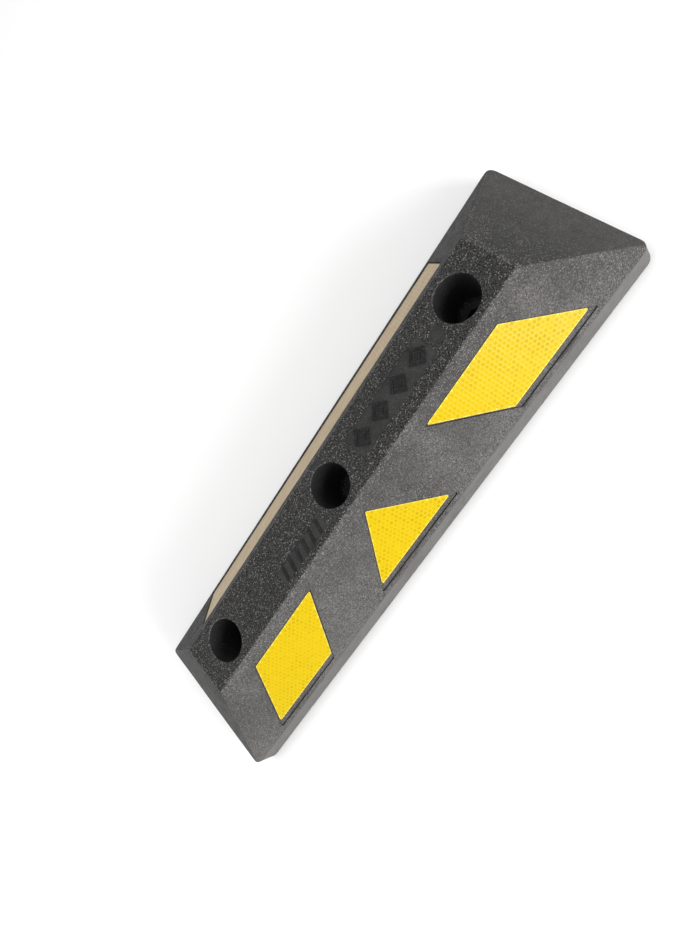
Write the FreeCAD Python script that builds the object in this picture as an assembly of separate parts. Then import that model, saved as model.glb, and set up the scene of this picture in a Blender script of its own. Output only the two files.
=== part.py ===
import FreeCAD, Part
import os
from math import atan2, cos, degrees, radians, sin, sqrt, tan
from FreeCAD import Placement, Rotation, Vector

# Moulded rubber wheel stop that is bolted to the ground in front of a wheel.
# X runs along the length, Y across the width and Z up, in millimetres.
# The origin is the centre of the bottom face. The three yellow reflectors face -Y.

# Overall body
LENGTH = 550.0
WIDTH = 150.0
HEIGHT = 80.0
RIM_HEIGHT = 22.0          # upright band round the foot of the slopes
RIM_LEAN = 1.5             # how far the band leans in over its height
CORNER_RADIUS = 9.0        # plan corners
TOP_WIDTH = 49.0           # flat top, ridge to ridge
END_RUN = 68.0             # plan length of an end slope with its rim
RIDGE_RADIUS = 4.0
RIM_ROUND = 2.5            # shoulder between the rim and the slopes
FOOT_ROUND = 1.5           # outer edge of the bottom face

# Pockets in the underside: two columns of six
OUTER_WALL = 12.5          # bottom face between a pocket and the outside
CENTRE_WEB = 11.0          # between the two columns
CROSS_WEBS = (11.0, 10.5, 13.5)       # between rows, from the middle outwards
POCKET_LENGTHS = (71.5, 75.0, 86.5)   # from the middle outwards
POCKET_CORNER = 24.0
POCKET_DRAFT = 2.5         # degrees
ROOF_THICKNESS = 11.0      # rubber over a pocket, square to the outer face
CEILING_ROUND = 4.0
POCKET_MOUTH_ROUND = 1.5   # lip of a pocket in the bottom face

# Fixing holes and blind holes on the centre line
BOLT_SPACING = 170.0
BOLT_HOLE_RADIUS = 6.5
SEAT_MOUTH_RADIUS = 18.5
SEAT_FLOOR_RADIUS = 15.0
SEAT_DEPTH = 45.0
SEAT_FLOOR_ROUND = 5.0
SEAT_MOUTH_ROUND = 1.5
BLIND_HOLE_X = 82.5
BLIND_HOLE_RADIUS = 6.0
BLIND_HOLE_DEPTH = 18.0
HOLE_ROUND = 0.8           # at both ends of these holes

# Reflective film, bonded in shallow recesses of the long slopes
FILM_THICKNESS = 0.6
FILM_CORNER = 1.0
RECESS_DEPTH = 1.4
RECESS_MARGIN = 1.2
RECESS_FOOT_MARGIN = 5.0
FILM_FOOT = 9.0            # up the slope, from the rim to the film's lower edge
FILM_HEIGHT = 52.5         # up the slope
SIDE_FILM_FOOT = (130.5, 216.5)
SIDE_FILM_HEAD = (83.0, 170.5)
TRIANGLE_FOOT = (-50.5, 45.5)
TRIANGLE_HEAD = (0.0, 0.0)
STRIP_SPAN = (-186.0, 186.0)

# Smooth insert panels sunk in the flat top, their raised marks, and the mould's gate dimple
PANEL_DEPTH = 0.3
MARK_RISE = 0.9            # above the sunk panel
LOZENGE_SIZE = 19.0        # across the points
LOZENGE_LINE = 2.6
LOZENGE_PLACES = (47.0, 71.5, 96.0, 120.5)
LOZENGE_PANEL = (35.5, 132.0, -12.0, 11.0)     # low x, high x, low y, high y
BAR_LENGTH = 3.0
BAR_WIDTH = 11.0
BAR_SLANT = 3.5
BAR_PLACES = (-32.0, -42.0, -52.0, -62.0, -72.0, -82.0)
BAR_Y = -12.5
BAR_PANEL = (-89.0, -25.0, -19.0, -6.0)
DIMPLE_RADIUS = 5.0
DIMPLE_DEPTH = 0.4
DIMPLE_X = 141.0
DIMPLE_Y = -4.0

FOOT_X = LENGTH / 2 - RIM_LEAN
FOOT_Y = WIDTH / 2 - RIM_LEAN
RIDGE_X = LENGTH / 2 - END_RUN
RIDGE_Y = TOP_WIDTH / 2
RISE = HEIGHT - RIM_HEIGHT
PAST = 5.0                 # how far a cutting solid runs past the face it cuts


def save(name, shape):
    os.makedirs("parts", exist_ok=True)
    shape.exportStep("parts/" + name + ".step")


def polygon_face(points):
    corners = [Vector(*point) for point in points]
    return Part.Face(Part.makePolygon(corners + corners[:1]))


def slope_reach(foot, ridge, inset, z):
    """Half size of the body at height z, on the face that leads from foot to ridge."""
    angle = atan2(RISE, foot - ridge)
    return foot - (z - RIM_HEIGHT) / tan(angle) - inset / sin(angle)


def hipped_block(inset, z_low, z_high):
    """Four slopes parallel to the outer ones, moved in by inset, with flat ends."""
    def trapezium(foot, ridge):
        low = slope_reach(foot, ridge, inset, z_low)
        high = slope_reach(foot, ridge, inset, z_high)
        return [(-low, z_low), (low, z_low), (high, z_high), (-high, z_high)]

    ends = polygon_face([(x, -WIDTH, z) for x, z in trapezium(FOOT_X, RIDGE_X)])
    sides = polygon_face([(-LENGTH, y, z) for y, z in trapezium(FOOT_Y, RIDGE_Y)])
    return ends.extrude(Vector(0, 2 * WIDTH, 0)).common(sides.extrude(Vector(2 * LENGTH, 0, 0)))


def rounded_rectangle(size_x, size_y, radius, z):
    """Closed wire of four corner arcs and four straight sides, centred on the Z axis."""
    arcs = []
    for turn, (side_x, side_y) in enumerate([(1, 1), (-1, 1), (-1, -1), (1, -1)]):
        centre = Vector(side_x * (size_x / 2 - radius), side_y * (size_y / 2 - radius), z)
        angles = [radians(90 * turn + step) for step in (0, 45, 90)]
        arcs.append([centre + Vector(radius * cos(a), radius * sin(a), 0) for a in angles])
    edges = []
    for arc, following in zip(arcs, arcs[1:] + arcs[:1]):
        edges.append(Part.Arc(*arc).toShape())
        edges.append(Part.LineSegment(arc[2], following[0]).toShape())
    return Part.Wire(edges)


def drafted_prism(size_x, size_y, radius, z_low, z_high, lean):
    """Rounded rectangle that is smaller by lean on every side at z_high than at z_low."""
    low = rounded_rectangle(size_x, size_y, radius, z_low)
    high = rounded_rectangle(size_x - 2 * lean, size_y - 2 * lean, radius - lean, z_high)
    return Part.makeLoft([low, high], True, True)


def rounded(shape, radius, chosen):
    """The shape with a fillet on every edge whose bounding box the test picks."""
    return shape.makeFillet(radius, [edge for edge in shape.Edges if chosen(edge.BoundBox)])


def outer_form():
    """Hipped roof on an upright rim with rounded plan corners, its outer edges rounded."""
    roof = rounded(hipped_block(0, -PAST, HEIGHT), RIDGE_RADIUS, lambda box: box.ZMax > HEIGHT - 0.1)
    rim = drafted_prism(LENGTH, WIDTH, CORNER_RADIUS, 0, HEIGHT, RIM_LEAN * HEIGHT / RIM_HEIGHT)
    form = roof.common(rim)
    form = rounded(form, RIM_ROUND, lambda box: box.ZMin > RIM_HEIGHT - 1 and box.ZMax < RIM_HEIGHT + 5)
    return rounded(form, FOOT_ROUND, lambda box: box.ZMax < 0.01)


def pocket(length, width, centre_x, centre_y, ceiling):
    """One pocket: drafted walls up to a rounded ceiling."""
    walls = drafted_prism(length, width, POCKET_CORNER, 0, HEIGHT, HEIGHT * tan(radians(POCKET_DRAFT)))
    core = walls.translated(Vector(centre_x, centre_y, 0)).common(ceiling)
    return rounded(core, CEILING_ROUND, lambda box: box.ZMin > RIM_HEIGHT / 2)


def pockets():
    """All twelve pockets, from three in one corner mirrored across both centre planes."""
    width = (WIDTH - CENTRE_WEB) / 2 - OUTER_WALL
    ceiling = hipped_block(ROOF_THICKNESS, -PAST, HEIGHT - ROOF_THICKNESS)
    spaces = []
    row_start = 0.0
    for web, length in zip((CROSS_WEBS[0] / 2,) + CROSS_WEBS[1:], POCKET_LENGTHS):
        row_start += web
        spaces.append(pocket(length, width, row_start + length / 2, (CENTRE_WEB + width) / 2, ceiling))
        row_start += length
    for normal in (Vector(0, 1, 0), Vector(1, 0, 0)):
        spaces += [space.mirror(Vector(0, 0, 0), normal) for space in spaces]
    return spaces


def bolt_seat():
    """Tapered seat in the top face, with the bolt hole through the rest of the body."""
    widening = (SEAT_MOUTH_RADIUS - SEAT_FLOOR_RADIUS) / SEAT_DEPTH
    floor_z = HEIGHT - SEAT_DEPTH
    seat = Part.makeCone(SEAT_FLOOR_RADIUS, SEAT_MOUTH_RADIUS + widening * PAST, SEAT_DEPTH + PAST,
                         Vector(0, 0, floor_z))
    seat = rounded(seat, SEAT_FLOOR_ROUND, lambda box: box.ZMax < floor_z + 0.1)
    return seat.fuse(Part.makeCylinder(BOLT_HOLE_RADIUS, HEIGHT, Vector(0, 0, -PAST)))


def slope_placement(facing_back):
    """Slope frame: X along the body, Y up the slope from the rim, Z out of the face."""
    angle = degrees(atan2(RISE, FOOT_Y - RIDGE_Y))
    front = Placement(Vector(0, -FOOT_Y, RIM_HEIGHT), Rotation(Vector(1, 0, 0), angle))
    return Placement(Vector(0, 0, 0), Rotation(Vector(0, 0, 1), 180)) * front if facing_back else front


def film_outline(foot, head, foot_drop=0.0):
    """Corners of a film between two level lines, its sides carried on down by foot_drop."""
    low = [end + (end - top) * foot_drop / FILM_HEIGHT for end, top in zip(foot, head)]
    corners = [(low[0], FILM_FOOT - foot_drop), (low[1], FILM_FOOT - foot_drop),
               (head[1], FILM_FOOT + FILM_HEIGHT), (head[0], FILM_FOOT + FILM_HEIGHT)]
    if head[0] == head[1]:
        corners.pop()
    return corners


def film(foot, head, facing_back=False):
    face = polygon_face([(x, y, -RECESS_DEPTH) for x, y in film_outline(foot, head)])
    sheet = face.extrude(Vector(0, 0, FILM_THICKNESS))
    corners = [edge for edge in sheet.Edges if edge.BoundBox.ZLength > FILM_THICKNESS / 2]
    sheet = sheet.makeFillet(FILM_CORNER, corners)
    sheet.Placement = slope_placement(facing_back)
    return sheet


def recess(foot, head, facing_back=False):
    outline = film_outline(foot, head, RECESS_FOOT_MARGIN - RECESS_MARGIN)
    face = polygon_face([(x, y, -RECESS_DEPTH) for x, y in outline]).makeOffset2D(RECESS_MARGIN)
    space = face.extrude(Vector(0, 0, RECESS_DEPTH + PAST))
    space.Placement = slope_placement(facing_back)
    return space


def mirrored(span):
    return (-span[1], -span[0])


def lozenge(size):
    half = size / 2
    return polygon_face([(half, 0, 0), (0, half, 0), (-half, 0, 0), (0, -half, 0)])


def raised_marks():
    """Four lozenges, each a ring round a solid core, and a row of slanted bars."""
    hole = LOZENGE_SIZE - 2 * LOZENGE_LINE * sqrt(2)
    ring = lozenge(LOZENGE_SIZE).cut(lozenge(hole))
    core = lozenge(hole - LOZENGE_LINE * sqrt(2))
    low = (BAR_LENGTH - BAR_SLANT) / 2
    high = (BAR_LENGTH + BAR_SLANT) / 2
    bar = polygon_face([(-high, -BAR_WIDTH / 2, 0), (low, -BAR_WIDTH / 2, 0),
                        (high, BAR_WIDTH / 2, 0), (-low, BAR_WIDTH / 2, 0)])
    places = [(face, x, 0) for x in LOZENGE_PLACES for face in (ring, core)]
    places += [(bar, x, BAR_Y) for x in BAR_PLACES]
    sunk = HEIGHT - PANEL_DEPTH - MARK_RISE
    rise = Vector(0, 0, 2 * MARK_RISE)
    return [face.extrude(rise).translated(Vector(x, y, sunk)) for face, x, y in places]


def panel(low_x, high_x, low_y, high_y):
    return Part.makeBox(high_x - low_x, high_y - low_y, PAST, Vector(low_x, low_y, HEIGHT - PANEL_DEPTH))


FRONT_FILMS = {
    "reflector_front_right": (SIDE_FILM_FOOT, SIDE_FILM_HEAD),
    "reflector_front_centre": (TRIANGLE_FOOT, TRIANGLE_HEAD),
    "reflector_front_left": (mirrored(SIDE_FILM_FOOT), mirrored(SIDE_FILM_HEAD)),
}


def is_pocket_mouth(box):
    return box.ZMax < 0.01 and abs(box.Center.y) > CENTRE_WEB / 4 \
        and max(box.XMax, -box.XMin) < LENGTH / 2 - OUTER_WALL / 2 \
        and max(box.YMax, -box.YMin) < WIDTH / 2 - OUTER_WALL / 2


def is_level_circle(box, radius):
    return box.ZLength < 0.01 and max(abs(box.XLength - 2 * radius), abs(box.YLength - 2 * radius)) < 0.1


def rubber_body():
    hollows = pockets()
    hollows += [bolt_seat().translated(Vector(x, 0, 0)) for x in (-BOLT_SPACING, 0, BOLT_SPACING)]
    hollows += [Part.makeCylinder(BLIND_HOLE_RADIUS, BLIND_HOLE_DEPTH + PAST, Vector(x, 0, -PAST))
                for x in (-BLIND_HOLE_X, BLIND_HOLE_X)]
    body = outer_form().cut(hollows)
    body = rounded(body, POCKET_MOUTH_ROUND, is_pocket_mouth)
    body = rounded(body, SEAT_MOUTH_ROUND, lambda box: is_level_circle(box, SEAT_MOUTH_RADIUS))
    for radius in (BOLT_HOLE_RADIUS, BLIND_HOLE_RADIUS):
        body = rounded(body, HOLE_ROUND, lambda box: is_level_circle(box, radius))
    surface_cuts = [recess(foot, head) for foot, head in FRONT_FILMS.values()]
    surface_cuts.append(recess(STRIP_SPAN, STRIP_SPAN, facing_back=True))
    surface_cuts += [panel(*LOZENGE_PANEL), panel(*BAR_PANEL)]
    surface_cuts.append(Part.makeCylinder(DIMPLE_RADIUS, PAST, Vector(DIMPLE_X, DIMPLE_Y, HEIGHT - DIMPLE_DEPTH)))
    return body.cut(surface_cuts).fuse(raised_marks()).removeSplitter()


save("rubber_body", rubber_body())
for name, (foot, head) in FRONT_FILMS.items():
    save(name, film(foot, head))
save("reflector_back_strip", film(STRIP_SPAN, STRIP_SPAN, facing_back=True))
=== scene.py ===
import math
import random

import bmesh
import bpy
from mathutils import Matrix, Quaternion, Vector, noise


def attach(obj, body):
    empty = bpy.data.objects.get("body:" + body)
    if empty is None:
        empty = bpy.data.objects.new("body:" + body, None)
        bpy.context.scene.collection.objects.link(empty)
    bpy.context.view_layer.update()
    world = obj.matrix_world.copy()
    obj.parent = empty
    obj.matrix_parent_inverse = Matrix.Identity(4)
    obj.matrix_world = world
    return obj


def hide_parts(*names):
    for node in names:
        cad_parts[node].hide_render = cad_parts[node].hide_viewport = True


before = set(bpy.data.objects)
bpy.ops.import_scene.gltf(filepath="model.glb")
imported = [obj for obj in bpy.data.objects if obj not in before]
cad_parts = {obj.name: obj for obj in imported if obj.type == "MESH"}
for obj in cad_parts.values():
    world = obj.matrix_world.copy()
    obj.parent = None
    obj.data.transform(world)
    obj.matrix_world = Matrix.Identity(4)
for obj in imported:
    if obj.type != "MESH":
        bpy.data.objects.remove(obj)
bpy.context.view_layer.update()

# Rubber wheel stop. Metres, X along the length, Y across, Z up, origin at the centre of the base.
MM = 0.001
RIM_TOP = 22 * MM
TOP_Z = 80 * MM
FOOT = (273.5 * MM, 73.5 * MM)         # half sizes where the slopes start
RIDGE = (207 * MM, 24.5 * MM)          # and where they end
DIMPLE = Vector((141 * MM, -4 * MM))
DIMPLE_HALO = 6.5 * MM         # radius of the smooth patch around the dimple
DIMPLE_LEVEL = TOP_Z - 1 * MM  # nothing below this belongs to it
PANEL_REACH = 2 * MM           # how far panels, marks and dimple lie from the top's level at most
MARK_RISE = 0.1 * MM           # anything higher above the top belongs to a mark
LEVEL_TOLERANCE = 0.05 * MM
UPWARD = 0.999                 # least upward part of a level face's direction
WALL_DEPTH = 5 * MM            # a wall at least this far inside the outline is a pocket's or a hole's
BASE_SKIN = 0.4 * MM           # levels this close to the base or the top count as outside
TOP_SKIN = 0.6 * MM

# The body's mesh
MERGE_DISTANCE = 0.002 * MM
PLANE_TOLERANCE = 0.001 * MM
SMALLEST_EDGE = 0.04 * MM
FLAT_ANGLE = math.radians(0.3)
SHARP_ANGLE = math.radians(28)
GRID_STEP = 6.5 * MM           # faces of the whole body
TOP_GRID_STEP = 1.3 * MM       # faces of the grained top
GRID_SHIFT = 0.37              # of a step, which keeps the planes off the design's own lines
WAVE_HEIGHT = 0.12 * MM        # unevenness of the moulded rubber, always inwards
WAVE_SCALE = 40.0              # waves per metre
WAVE_CREST = 0.5               # noise above this leaves the surface where it is
GRAIN_HEIGHT = 0.22 * MM
GRAIN_SCALE = 420.0
GRAIN_CREST = 0.3
GROUND_FADE = 6 * MM           # the unevenness fades out over this height above the ground

# Patterns in the rubber's material, where a noise's or cells' scale is per metre
GRANULE_NOISE = 1000.0
GRANULE_CELLS = 760.0
CROWN_CELLS = 900.0
SPECKLE_NOISE = 850.0
FINE_NOISE = 2600.0
DUST_NOISE = 24.0
PATCH_NOISE = 11.0
SCUFF_NOISE = 260.0
GLOSS_NOISE = 130.0
GRANULE_BUMP = 2.0 * MM        # heights of the bumps
FINE_BUMP = 0.12 * MM

# Honeycomb of the reflective film
CELL_PITCH = 3.95 * MM         # between neighbours, one above the other on the slope
DOT_POINTS = 12                # two for each of a cell's six corners
DOT_RADIUS = 0.38              # against the pitch
LIP_WIDTH = 0.04               # of the dot, against the pitch
DOT_FLOOR = 0.8                # radius of the dot's bottom against its own
DOT_DEPTH = 0.09 * MM
JOIN_DISTANCE = 0.02 * MM      # between neighbouring cells' corners
FILM_THICKNESS = 0.6 * MM

# Colours of the net, the dishes and the cut edges, and the least roughness
YELLOW = ((0.53, 0.375, 0.003, 1), (0.38, 0.262, 0.001, 1), (0.80, 0.68, 0.14, 1), 0.26)
TAN = ((0.40, 0.31, 0.19, 1), (0.33, 0.235, 0.135, 1), (0.26, 0.18, 0.10, 1), 0.35)
YELLOW_SHADES = (0.3, 1.0)     # least and most depth of colour of a dish
TAN_SHADES = (0.4, 0.9)
TAN_SEED = 9

# The studio: place, size and power of the lights
KEY_LIGHT = ((0.7, -1.75, 0.6), 1.0, 42.0)
OVERHEAD_LIGHT = ((-0.4, 0.5, 1.8), 1.6, 14.0)
SKY_STRENGTH = 0.75
FLOOR_HALF_SIZE = 12.0
FLOOR_LEVEL = -0.1 * MM
FLOOR_GREY = 0.88

# The camera
CAMERA_PLACE = (0.1376, -0.2076, 0.4745)
CAMERA_TARGET = (0.0061, 0.0197, 0.040)
CAMERA_ROLL = math.radians(-82.24)
CAMERA_LENS = 22.6


# ---------------------------------------------------------------- node helpers

class Shader:
    """A material's node tree, with short calls for the nodes that this file uses."""

    def __init__(self, name):
        self.material = bpy.data.materials.new(name)
        self.material.use_nodes = True
        self.tree = self.material.node_tree
        self.surface = self.tree.nodes["Principled BSDF"]
        self.place = self.add("ShaderNodeTexCoord").outputs["Object"]

    def add(self, kind, **settings):
        node = self.tree.nodes.new(kind)
        for key, value in settings.items():
            setattr(node, key, value)
        return node

    def put(self, socket, value):
        """Links a socket to an output, or sets its plain value."""
        if isinstance(value, bpy.types.NodeSocket):
            self.tree.links.new(value, socket)
        else:
            socket.default_value = value

    def math(self, operation, a, b=0.0, clamp=False):
        node = self.add("ShaderNodeMath", operation=operation, use_clamp=clamp)
        self.put(node.inputs[0], a)
        self.put(node.inputs[1], b)
        return node.outputs[0]

    def ramp(self, value, low, high, to_low=0.0, to_high=1.0):
        """Smooth step of a value between two limits."""
        node = self.add("ShaderNodeMapRange", interpolation_type="SMOOTHSTEP")
        for socket, number in zip(node.inputs, (value, low, high, to_low, to_high)):
            self.put(socket, number)
        return node.outputs[0]

    def distance(self, value, middle):
        return self.math("ABSOLUTE", self.math("SUBTRACT", value, middle))

    def attribute(self, name):
        return self.add("ShaderNodeAttribute", attribute_name=name).outputs["Fac"]

    def noise(self, scale, detail=2.0, roughness=0.5, place=None):
        node = self.add("ShaderNodeTexNoise")
        self.put(node.inputs["Vector"], place or self.place)
        self.put(node.inputs["Scale"], scale)
        self.put(node.inputs["Detail"], detail)
        self.put(node.inputs["Roughness"], roughness)
        return node.outputs["Fac"]

    def cells(self, scale, output="Distance"):
        node = self.add("ShaderNodeTexVoronoi")
        self.put(node.inputs["Vector"], self.place)
        self.put(node.inputs["Scale"], scale)
        return node.outputs[output]

    def blend(self, factor, a, b):
        node = self.add("ShaderNodeMix", data_type="RGBA")
        self.put(node.inputs["Factor"], factor)
        self.put(node.inputs[6], a)
        self.put(node.inputs[7], b)
        return node.outputs[2]

    def bump(self, height, distance, under=None):
        node = self.add("ShaderNodeBump")
        self.put(node.inputs["Height"], height)
        self.put(node.inputs["Distance"], distance)
        if under is not None:
            self.put(node.inputs["Normal"], under)
        return node.outputs["Normal"]

    def split(self, vector):
        node = self.add("ShaderNodeSeparateXYZ")
        self.put(node.inputs[0], vector)
        return node.outputs


def grey(level, warmth=0.0):
    """A colour of that brightness, slightly more red than blue if warm."""
    return (level * (1 + warmth), level, level * (1 - warmth), 1.0)


# ---------------------------------------------------------------- materials

def rubber_material():
    """Recycled rubber: coarse grain with pale crowns and painted sparkle on the flat top, finer on the
    slopes, smooth below; the greys of its parts hold painted light and shade.
    """
    s = Shader("recycled_rubber")
    place = s.split(s.place)
    z = place["Z"]
    normal = s.split(s.add("ShaderNodeNewGeometry").outputs["Normal"])
    faces_up = s.ramp(normal["Z"], 0.2, 0.5)
    level = s.ramp(normal["Z"], 0.86, 0.95)
    endwise = s.ramp(s.math("ABSOLUTE", normal["X"]), 0.35, 0.6)
    smooth = s.ramp(s.attribute("smooth"), 0.2, 0.8)
    rough_part = s.math("SUBTRACT", 1.0, smooth)
    inside = s.attribute("inside")
    shaded_backward = s.ramp(normal["Y"], 0.3, 0.6)
    top = s.math("MULTIPLY", s.ramp(normal["Z"], 0.74, 0.93), s.ramp(z, TOP_Z - 6 * MM, TOP_Z - 2.5 * MM))
    top = s.math("MULTIPLY", top, rough_part)
    sloping = s.math("MULTIPLY", faces_up, s.math("SUBTRACT", 1.0, level))
    long_slope = s.math("MULTIPLY", sloping, s.math("SUBTRACT", 1.0, endwise))
    ridge = s.math("MULTIPLY", s.ramp(z, TOP_Z - 7 * MM, TOP_Z - 1 * MM), sloping)
    rim = s.math("MULTIPLY", s.ramp(z, RIM_TOP - 2 * MM, RIM_TOP + 1 * MM, 1.0, 0.0),
                 s.ramp(normal["Z"], -0.4, -0.1))

    # How strongly the granules show: fully on the top, in patches on the long slopes
    patches = s.ramp(s.noise(PATCH_NOISE, 3.0), 0.38, 0.62, 0.35, 0.95)
    rubbed = s.ramp(s.distance(place["X"], 0.14), 0.05, 0.13, 0.5, 1.0)
    grain = s.math("MULTIPLY", long_slope, s.math("MULTIPLY", patches, rubbed))
    grain = s.math("MAXIMUM", grain, s.math("MULTIPLY", ridge, 0.85))
    grain = s.math("MAXIMUM", grain, s.math("MULTIPLY", sloping, s.ramp(z, 40 * MM, TOP_Z, 0.25, 0.8)))
    grain = s.math("MAXIMUM", grain, s.math("MAXIMUM", top, 0.12))
    granules = s.math("ADD", s.noise(GRANULE_NOISE, 3.0, 0.7),
                      s.math("MULTIPLY", s.cells(GRANULE_CELLS), 0.6))
    coarse = s.bump(s.math("MULTIPLY", granules, grain), GRANULE_BUMP)
    s.put(s.surface.inputs["Normal"], s.bump(s.noise(FINE_NOISE), FINE_BUMP, coarse))

    # Dust lies in patches, towards the ends and just above the rim
    dust = s.ramp(s.noise(DUST_NOISE, 6.0, 0.72), 0.38, 0.66)
    dust = s.math("ADD", dust, s.ramp(s.distance(place["X"], 0.08), 0.06, 0.24, 0.0, 0.4))
    dust = s.math("ADD", dust, s.ramp(z, RIM_TOP + 2 * MM, RIM_TOP + 20 * MM, 0.4, 0.0), clamp=True)
    speckle = s.ramp(s.noise(SPECKLE_NOISE, 2.0, 0.7), 0.42, 0.58)

    # Each part's greys, laid over one another. Most of their differences are painted light and shade: a
    # lighter front slope and rim, a darker top, back slope and insides.
    colour = s.blend(dust, grey(0.036, 0.03), grey(0.052, 0.04))
    # Painted light: the long slopes get a lighter grey that stands in for the low front key light falling
    # on them, lightened further by dust in patches.
    slope_lit_and_shaded = s.blend(dust, grey(0.076, 0.03), grey(0.135, 0.04))
    slope_lit_and_shaded = s.blend(s.math("MULTIPLY", speckle, 0.75), slope_lit_and_shaded, grey(0.038, 0.03))
    # Painted shade: slopes that face backwards, away from the key light, get a much darker grey.
    slope_lit_and_shaded = s.blend(shaded_backward, slope_lit_and_shaded, s.blend(speckle, grey(0.014), grey(0.026)))
    colour = s.blend(s.math("MULTIPLY", speckle, s.math("ADD", grain, 0.3)), colour, grey(0.022, 0.03))
    colour = s.blend(long_slope, colour, slope_lit_and_shaded)
    # Painted light and reflection: the vertical rim gets a lighter grey for the key light and the white
    # floor that it reflects, lightened further by dust.
    colour = s.blend(rim, colour, s.blend(dust, grey(0.078, 0.03), grey(0.110, 0.04)))
    # Painted shade: the flat top gets a darker grey, its near-black specks standing in for the shade in
    # its grain.
    shaded_top_colour = s.blend(speckle, grey(0.004, 0.03), grey(0.056, 0.03))
    colour = s.blend(top, colour, shaded_top_colour)
    colour = s.blend(smooth, colour, s.blend(dust, grey(0.016, 0.03), grey(0.028, 0.03)))
    colour = s.blend(s.attribute("mark"), colour, grey(0.003))
    scuffs = s.math("MULTIPLY", s.ramp(s.noise(SCUFF_NOISE, 4.0, 0.7), 0.60, 0.72),
                    s.ramp(z, 4 * MM, 30 * MM, 0.8, 0.1))
    # Painted shade: pockets, seats and holes get a near-black grey, with the lighter scuffs stronger
    # towards the base.
    colour = s.blend(inside, colour, s.blend(scuffs, grey(0.012), grey(0.07, 0.05)))

    # Pale granule crowns, thickest along the ridges: partly the crumb rubber's pale wear, partly painted
    # sparkle highlights
    chosen = s.split(s.cells(CROWN_CELLS, "Color"))["X"]
    bright = s.ramp(s.math("ADD", chosen, s.math("MULTIPLY", ridge, 0.25)), 0.55, 1.05)
    crowns = s.ramp(s.cells(CROWN_CELLS), 0.15, 0.60, 1.0, 0.0)
    wear_and_glint = s.math("MULTIPLY", s.math("MULTIPLY", bright, crowns), s.math("MULTIPLY", grain, 0.8))
    s.put(s.surface.inputs["Base Color"], s.blend(wear_and_glint, colour, grey(0.38, 0.03)))
    s.put(s.surface.inputs["Roughness"], s.ramp(s.noise(GLOSS_NOISE, 3.0), 0.3, 0.7, 0.58, 0.76))
    s.put(s.surface.inputs["Specular IOR Level"], 0.28)
    return s.material


def film_material(name, net_colour, dish_colour, edge_colour, roughness):
    """Honeycomb film: bright net, darker dishes of uneven depth of colour, and pale cut edges."""
    s = Shader(name)
    dish = s.attribute("dish")
    shade = s.attribute("shade")
    rim = s.attribute("rim")
    haze = s.ramp(s.noise(26.0, 3.0), 0.3, 0.7, 0.35, 1.0)
    darkness = s.math("MULTIPLY", s.ramp(dish, 0.15, 0.95), s.math("MULTIPLY", shade, haze))
    colour = s.blend(darkness, net_colour, dish_colour)
    grime = s.ramp(s.noise(180.0, 4.0, 0.7), 0.62, 0.8, 0.0, 0.35)
    colour = s.blend(grime, colour, dish_colour)
    colour = s.blend(rim, colour, edge_colour)
    s.put(s.surface.inputs["Base Color"], colour)
    s.put(s.surface.inputs["Roughness"], s.ramp(s.noise(90.0), 0.3, 0.7, roughness, roughness + 0.15))
    s.put(s.surface.inputs["Normal"], s.bump(s.noise(500.0, 2.0), 0.03 * MM))
    s.put(s.surface.inputs["Coat Weight"], 0.03)
    s.put(s.surface.inputs["Coat Roughness"], 0.2)
    s.put(s.surface.inputs["Specular IOR Level"], 0.1)
    return s.material


def floor_material():
    s = Shader("studio_floor")
    s.put(s.surface.inputs["Base Color"], grey(FLOOR_GREY))
    s.put(s.surface.inputs["Roughness"], 0.9)
    return s.material


# ---------------------------------------------------------------- meshes

def new_object(name, mesh):
    piece = bpy.data.objects.new(name, mesh)
    bpy.context.scene.collection.objects.link(piece)
    return piece


def finished_piece(work, name, material):
    mesh = bpy.data.meshes.new(name)
    work.to_mesh(mesh)
    work.free()
    mesh.materials.append(material)
    piece = new_object(name, mesh)
    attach(piece, "root")
    return piece


def shade_smoothly(work):
    """Smooth shading that stays sharp at steep edges."""
    for edge in work.edges:
        edge.smooth = not edge.is_manifold or edge.calc_face_angle() < SHARP_ANGLE
    for face in work.faces:
        face.smooth = True


def cut_by_grid(work, faces, step, axes):
    """Cuts the faces by evenly spaced planes across each of the axes."""
    verts = {vertex for face in faces for vertex in face.verts}
    edges = {edge for face in faces for edge in face.edges}
    pieces = [*verts, *edges, *faces]
    limits = [(min(vertex.co[axis] for vertex in verts), max(vertex.co[axis] for vertex in verts))
              for axis in range(3)]
    for axis in axes:
        low, high = limits[axis]
        count = math.ceil((high - low) / step)
        normal = Vector([1.0 if index == axis else 0.0 for index in range(3)])
        for index in range(1, count + 1):
            place = low + (index - GRID_SHIFT) * (high - low) / count
            pieces = bmesh.ops.bisect_plane(work, geom=pieces, dist=PLANE_TOLERANCE,
                                            plane_co=normal * place, plane_no=normal)["geom"]


def is_top(face):
    return face.normal.z > UPWARD and abs(face.calc_center_median().z - TOP_Z) < LEVEL_TOLERANCE


def is_panel(face):
    """The smooth panels, their raised marks and the dimple."""
    height = face.calc_center_median().z
    return face.normal.z > UPWARD and LEVEL_TOLERANCE < abs(height - TOP_Z) < PANEL_REACH


def is_inside(place):
    """Whether a point is on a pocket's, a seat's or a hole's wall, not on the outer surface."""
    climb = max((place.z - RIM_TOP) / (TOP_Z - RIM_TOP), 0.0)
    return BASE_SKIN < place.z < TOP_Z - TOP_SKIN and all(
        abs(place[axis]) < foot - (foot - ridge) * climb - WALL_DEPTH
        for axis, (foot, ridge) in enumerate(zip(FOOT, RIDGE)))


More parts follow.
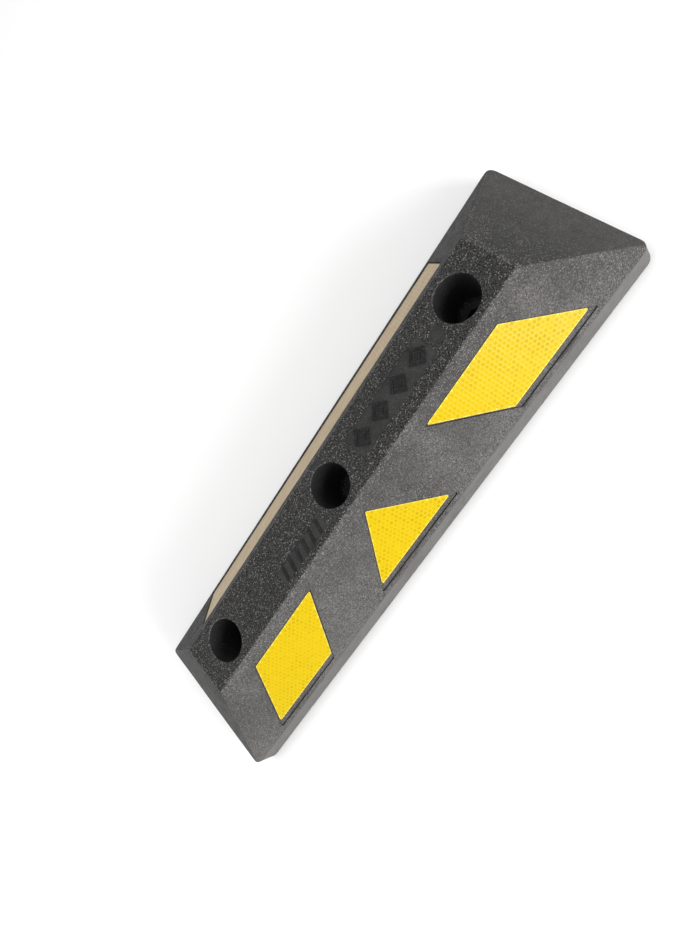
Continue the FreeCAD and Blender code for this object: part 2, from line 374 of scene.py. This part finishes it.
def moulded_body():
    """The block's own mesh: the design's surface in small faces, slightly uneven as moulded rubber is."""
    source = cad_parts["rubber_body"]
    work = bmesh.new()
    work.from_mesh(source.data)
    smooth, mark, inside = [work.verts.layers.float.new(name) for name in ("smooth", "mark", "inside")]
    bmesh.ops.remove_doubles(work, verts=work.verts, dist=MERGE_DISTANCE)
    bmesh.ops.dissolve_limit(work, angle_limit=FLAT_ANGLE, verts=work.verts, edges=work.edges)
    cut_by_grid(work, work.faces, GRID_STEP, (0, 1, 2))
    work.normal_update()
    cut_by_grid(work, [face for face in work.faces if is_top(face)], TOP_GRID_STEP, (0, 1))
    bmesh.ops.dissolve_degenerate(work, dist=SMALLEST_EDGE, edges=work.edges)
    bmesh.ops.triangulate(work, faces=work.faces, quad_method="BEAUTY", ngon_method="BEAUTY")
    work.normal_update()
    grained = {vertex for vertex in work.verts if all(is_top(face) for face in vertex.link_faces)}
    for vertex in work.verts:
        near_dimple = vertex.co.z > DIMPLE_LEVEL and (vertex.co.xy - DIMPLE).length < DIMPLE_HALO
        vertex[smooth] = float(near_dimple or any(is_panel(face) for face in vertex.link_faces))
        vertex[mark] = float(vertex.co.z > TOP_Z + MARK_RISE)
        vertex[inside] = float(is_inside(vertex.co))
    for vertex in work.verts:
        above_ground = min(vertex.co.z / GROUND_FADE, 1.0)
        wave = WAVE_HEIGHT * min(noise.noise(vertex.co * WAVE_SCALE) - WAVE_CREST, 0.0)
        if vertex in grained:
            wave += GRAIN_HEIGHT * min(noise.noise(vertex.co * GRAIN_SCALE) - GRAIN_CREST, 0.0)
        vertex.co += vertex.normal * wave * above_ground
    shade_smoothly(work)
    piece = finished_piece(work, "moulded_rubber_block", rubber_material())
    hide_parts("rubber_body")


def film_outline(node):
    """Corners of a film's outer face in order, with the face's outward direction."""
    work = bmesh.new()
    work.from_mesh(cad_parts[node].data)
    bmesh.ops.remove_doubles(work, verts=work.verts, dist=MERGE_DISTANCE)
    bmesh.ops.dissolve_limit(work, angle_limit=FLAT_ANGLE, verts=work.verts, edges=work.edges)
    work.normal_update()
    outer = max((face for face in work.faces if face.normal.z > 0), key=lambda face: face.calc_area())
    corners = [vertex.co.copy() for vertex in outer.verts]
    outward = outer.normal.copy()
    work.free()
    return corners, outward


def ring(work, centre, count, radius, values):
    """Vertices on a flat circle, with the given values in their layers."""
    made = []
    for index in range(count):
        angle = math.tau * index / count
        vertex = work.verts.new(centre + Vector((math.cos(angle), math.sin(angle), 0)) * radius)
        for layer, value in values.items():
            vertex[layer] = value
        made.append(vertex)
    return made


def honeycomb(work, outline, shades, seed):
    """A flat sheet of cells, each a ring of net round a dot, that covers the outline's extent."""
    chance = random.Random(seed)
    dish = work.verts.layers.float.new("dish")
    shade = work.verts.layers.float.new("shade")
    column_step = CELL_PITCH * math.sqrt(3) / 2
    corner_radius = CELL_PITCH / math.sqrt(3)
    low = [min(point[axis] for point in outline) - CELL_PITCH for axis in range(2)]
    high = [max(point[axis] for point in outline) + CELL_PITCH for axis in range(2)]
    for column in range(int((high[0] - low[0]) / column_step) + 1):
        start = low[1] + (column % 2) * CELL_PITCH / 2
        for row in range(int((high[1] - low[1]) / CELL_PITCH) + 1):
            centre = Vector((low[0] + column * column_step, start + row * CELL_PITCH, 0))
            depth_of_colour = chance.uniform(*shades)
            net = {dish: 0.0, shade: depth_of_colour}
            outer = ring(work, centre, 6, corner_radius, net)
            lip = ring(work, centre, DOT_POINTS, CELL_PITCH * (DOT_RADIUS + LIP_WIDTH), net)
            dot = ring(work, centre, DOT_POINTS, CELL_PITCH * DOT_RADIUS * DOT_FLOOR,
                       {dish: 1.0, shade: depth_of_colour})
            for index in range(6):
                work.faces.new((outer[index], outer[(index + 1) % 6], lip[(2 * index + 2) % DOT_POINTS],
                                lip[2 * index + 1], lip[2 * index]))
            for index in range(DOT_POINTS):
                after = (index + 1) % DOT_POINTS
                work.faces.new((lip[index], lip[after], dot[after], dot[index]))
            work.faces.new(dot)
    bmesh.ops.remove_doubles(work, verts=work.verts, dist=JOIN_DISTANCE)
    return dish


def reflective_film(node, name, material, shades, seed):
    """A film in its recess: honeycomb face cut to the outline, pressed dots, cut edges and a flat back."""
    corners, outward = film_outline(node)
    along = Vector((1, 0, 0))
    across = outward.cross(along)
    origin = corners[0]
    outline = [Vector(((corner - origin).dot(along), (corner - origin).dot(across), 0))
               for corner in corners]
    work = bmesh.new()
    rim = work.verts.layers.float.new("rim")
    dish = honeycomb(work, outline, shades, seed)
    middle = sum(outline, Vector()) / len(outline)
    for corner, following in zip(outline, outline[1:] + outline[:1]):
        edge = following - corner
        if edge.length < PLANE_TOLERANCE:
            continue
        normal = Vector((edge.y, -edge.x, 0)).normalized()
        if normal.dot(middle - corner) > 0:
            normal = -normal
        bmesh.ops.bisect_plane(work, geom=[*work.verts, *work.edges, *work.faces], dist=PLANE_TOLERANCE,
                               plane_co=corner, plane_no=normal, clear_outer=True)
    border = [edge for edge in work.edges if edge.is_boundary]
    edge_verts = {vertex for edge in border for vertex in edge.verts}
    for vertex in work.verts:
        if vertex in edge_verts:
            vertex[rim] = 1.0
        else:
            vertex.co.z = -DOT_DEPTH * vertex[dish]
    made = bmesh.ops.extrude_edge_only(work, edges=border)["geom"]
    for vertex in made:
        if isinstance(vertex, bmesh.types.BMVert):
            vertex.co.z = -FILM_THICKNESS
            vertex[rim] = 1.0
    back = [item for item in made if isinstance(item, bmesh.types.BMEdge)
            and all(vertex.co.z < -FILM_THICKNESS / 2 for vertex in item.verts)]
    bmesh.ops.contextual_create(work, geom=back)
    bmesh.ops.triangulate(work, faces=work.faces, quad_method="BEAUTY", ngon_method="BEAUTY")
    for vertex in work.verts:
        place = vertex.co
        vertex.co = origin + along * place.x + across * place.y + outward * place.z
    bmesh.ops.recalc_face_normals(work, faces=work.faces)
    shade_smoothly(work)
    piece = finished_piece(work, name, material)
    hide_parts(node)


def studio():
    """A plain pale floor under even light, with one key light from the front and one from above."""
    floor_mesh = bpy.data.meshes.new("studio_floor")
    corners = [(x * FLOOR_HALF_SIZE, y * FLOOR_HALF_SIZE, FLOOR_LEVEL)
               for x, y in ((-1, -1), (1, -1), (1, 1), (-1, 1))]
    floor_mesh.from_pydata(corners, [], [(0, 1, 2, 3)])
    floor_mesh.materials.append(floor_material())
    new_object("studio_floor", floor_mesh)
    world = bpy.data.worlds.new("studio_light")
    bpy.context.scene.world = world
    world.use_nodes = True
    sky = world.node_tree.nodes["Background"].inputs
    sky["Color"].default_value = (1.0, 1.0, 1.0, 1.0)
    sky["Strength"].default_value = SKY_STRENGTH
    area_light("key", *KEY_LIGHT)
    area_light("overhead", *OVERHEAD_LIGHT)


def area_light(name, place, size, power):
    lamp = bpy.data.lights.new(name, "AREA")
    lamp.size = size
    lamp.energy = power
    holder = bpy.data.objects.new(name, lamp)
    bpy.context.scene.collection.objects.link(holder)
    holder.location = place
    holder.rotation_mode = "QUATERNION"
    holder.rotation_quaternion = (-Vector(place)).to_track_quat("-Z", "Y")


def camera():
    lens = bpy.data.cameras.new("camera")
    lens.lens = CAMERA_LENS
    lens.clip_start = 0.01
    holder = bpy.data.objects.new("camera", lens)
    bpy.context.scene.collection.objects.link(holder)
    holder.location = CAMERA_PLACE
    holder.rotation_mode = "QUATERNION"
    aim = (Vector(CAMERA_TARGET) - Vector(CAMERA_PLACE)).to_track_quat("-Z", "Y")
    holder.rotation_quaternion = aim @ Quaternion((0, 0, 1), CAMERA_ROLL)
    bpy.context.scene.camera = holder


bpy.context.scene.view_settings.view_transform = "Standard"
camera()
studio()
moulded_body()
yellow = film_material("yellow_film", *YELLOW)
tan = film_material("tan_film", *TAN)
for seed, side in enumerate(("right", "centre", "left")):
    reflective_film("reflector_front_" + side, "yellow_film_" + side, yellow,
                    YELLOW_SHADES, seed)
reflective_film("reflector_back_strip", "tan_film_back", tan, TAN_SHADES, TAN_SEED)
